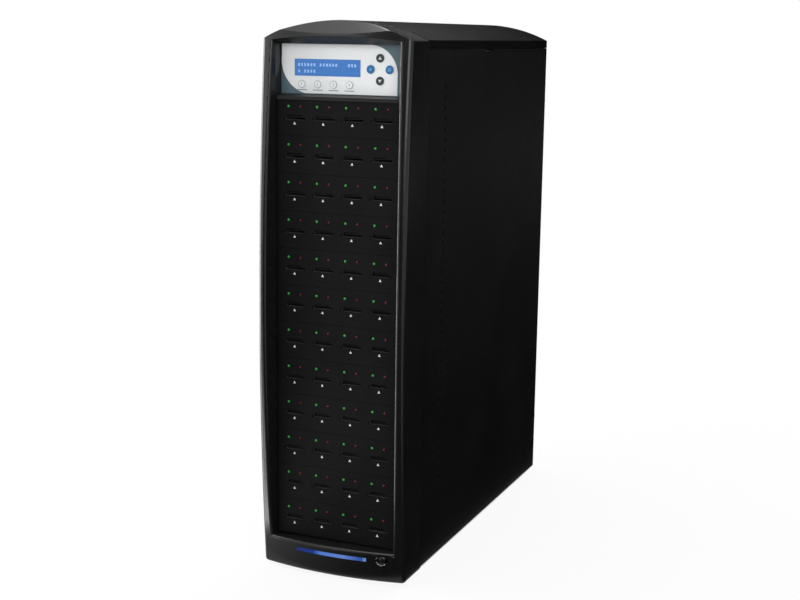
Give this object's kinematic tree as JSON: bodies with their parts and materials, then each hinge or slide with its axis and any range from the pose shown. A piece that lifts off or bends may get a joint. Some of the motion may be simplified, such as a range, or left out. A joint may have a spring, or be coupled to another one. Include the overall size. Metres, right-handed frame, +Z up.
{
  "type": "memory card duplicator tower",
  "caption": "Tall black tower with a bulged moulded front: a control panel with display and keys above rows of card slots with lamps.",
  "frame": {"origin": "middle of the footprint on the surface that the feet rest on", "axes": "+X right seen from the front, +Y to the rear, +Z up"},
  "size_m": [0.1796, 0.5098, 0.6332],
  "materials": {
    "bezel_plastic": "satin",
    "reader_plastic": "fine matt",
    "cover_plastic": "satin",
    "side_paint": "satin powder coat",
    "steel": "zinc plated",
    "screw_steel": "nickel plated",
    "bright_trim": "polished",
    "slate_plastic": "satin",
    "overlay_film": "satin film",
    "display_glass": "clear over lit blue",
    "blue_key": "gloss",
    "grey_key": "satin",
    "white_key": "satin",
    "ledge_plastic": "satin",
    "light_lens": "clear blue",
    "green_lens": "tinted clear",
    "red_lens": "tinted clear",
    "board_green": "solder mask",
    "module_black": "matt",
    "foot_rubber": "matt",
    "cable_sleeve": "matt"
  },
  "bodies": {
    "tower": {"front_bezel": "bezel_plastic", "light_bar": "light_lens", "power_button_ring": "bright_trim", "power_switch": "module_black", "front_board": "board_green", "chassis_floor": "steel", "feet": "foot_rubber", "front_frame": "steel", "bay_walls": "steel", "rear_panel": "steel", "top_panel": "steel", "top_cover": "cover_plastic", "reader_fascia_01": "reader_plastic", "reader_fascia_02": "reader_plastic", "reader_fascia_03": "reader_plastic", "reader_fascia_04": "reader_plastic", "reader_fascia_05": "reader_plastic", "reader_fascia_06": "reader_plastic", "reader_fascia_07": "reader_plastic", "reader_fascia_08": "reader_plastic", "reader_fascia_09": "reader_plastic", "reader_fascia_10": "reader_plastic", "reader_fascia_11": "reader_plastic", "reader_fascia_12": "reader_plastic", "green_lamps": "green_lens", "red_lamps": "red_lens", "bay_trays": "steel", "reader_boards": "board_green", "card_sockets": "screw_steel", "backplane_board": "board_green", "self_tapping_screws": "screw_steel", "machine_screws": "screw_steel", "bay_ledge": "ledge_plastic", "control_panel_plate": "slate_plastic", "control_overlay": "overlay_film", "display_window": "display_glass", "display_module": "module_black", "keypad_board": "board_green", "controller_board": "board_green", "power_supply": "steel", "power_inlet": "module_black", "fan_frames": "module_black", "cables": "cable_sleeve"},
    "power_button": {"power_button": "bezel_plastic"},
    "up_key": {"up_key": "grey_key"},
    "down_key": {"down_key": "grey_key"},
    "left_key": {"left_key": "blue_key"},
    "right_key": {"right_key": "blue_key"},
    "function_key_1": {"function_key_1": "white_key"},
    "function_key_2": {"function_key_2": "white_key"},
    "function_key_3": {"function_key_3": "white_key"},
    "function_key_4": {"function_key_4": "white_key"},
    "right_panel": {"right_side_panel": "side_paint", "right_thumbscrews": "screw_steel"},
    "left_panel": {"left_side_panel": "side_paint", "left_thumbscrews": "screw_steel"},
    "power_rocker": {"power_rocker": "module_black"},
    "lower_fan_rotor": {"lower_fan_rotor": "module_black"},
    "upper_fan_rotor": {"upper_fan_rotor": "module_black"},
    "supply_rotor": {"supply_rotor": "module_black"}
  },
  "joints": [
    {"name": "power_button_press", "type": "slide", "parent": "tower", "child": "power_button", "axis": [0, 1, 0], "range_m": [0, 0.0016], "stiffness_N_per_m": 400, "springref_m": -0.002},
    {"name": "up_key_press", "type": "slide", "parent": "tower", "child": "up_key", "axis": [0, 1, 0], "range_m": [0, 0.0006], "stiffness_N_per_m": 300, "springref_m": -0.001},
    {"name": "down_key_press", "type": "slide", "parent": "tower", "child": "down_key", "axis": [0, 1, 0], "range_m": [0, 0.0006], "stiffness_N_per_m": 300, "springref_m": -0.001},
    {"name": "left_key_press", "type": "slide", "parent": "tower", "child": "left_key", "axis": [0, 1, 0], "range_m": [0, 0.0006], "stiffness_N_per_m": 300, "springref_m": -0.001},
    {"name": "right_key_press", "type": "slide", "parent": "tower", "child": "right_key", "axis": [0, 1, 0], "range_m": [0, 0.0006], "stiffness_N_per_m": 300, "springref_m": -0.001},
    {"name": "function_key_1_press", "type": "slide", "parent": "tower", "child": "function_key_1", "axis": [0, 1, 0], "range_m": [0, 0.0006], "stiffness_N_per_m": 300, "springref_m": -0.001},
    {"name": "function_key_2_press", "type": "slide", "parent": "tower", "child": "function_key_2", "axis": [0, 1, 0], "range_m": [0, 0.0006], "stiffness_N_per_m": 300, "springref_m": -0.001},
    {"name": "function_key_3_press", "type": "slide", "parent": "tower", "child": "function_key_3", "axis": [0, 1, 0], "range_m": [0, 0.0006], "stiffness_N_per_m": 300, "springref_m": -0.001},
    {"name": "function_key_4_press", "type": "slide", "parent": "tower", "child": "function_key_4", "axis": [0, 1, 0], "range_m": [0, 0.0006], "stiffness_N_per_m": 300, "springref_m": -0.001},
    {"name": "right_panel_slide", "type": "slide", "parent": "tower", "child": "right_panel", "axis": [0, 1, 0], "range_m": [0, 0.018]},
    {"name": "left_panel_slide", "type": "slide", "parent": "tower", "child": "left_panel", "axis": [0, 1, 0], "range_m": [0, 0.018]},
    {"name": "power_rocker_tilt", "type": "hinge", "parent": "tower", "child": "power_rocker", "pos_m": [0.044, 0.24215, 0.0637], "axis": [1, 0, 0], "range_deg": [-18, 0]},
    {"name": "lower_fan_rotor_spin", "type": "hinge", "parent": "tower", "child": "lower_fan_rotor", "pos_m": [0, 0.23055, 0.1863], "axis": [0, 1, 0], "continuous": true},
    {"name": "upper_fan_rotor_spin", "type": "hinge", "parent": "tower", "child": "upper_fan_rotor", "pos_m": [0, 0.23055, 0.4363], "axis": [0, 1, 0], "continuous": true},
    {"name": "supply_rotor_spin", "type": "hinge", "parent": "tower", "child": "supply_rotor", "pos_m": [-0.028, 0.23055, 0.0502], "axis": [0, 1, 0], "continuous": true}
  ]
}
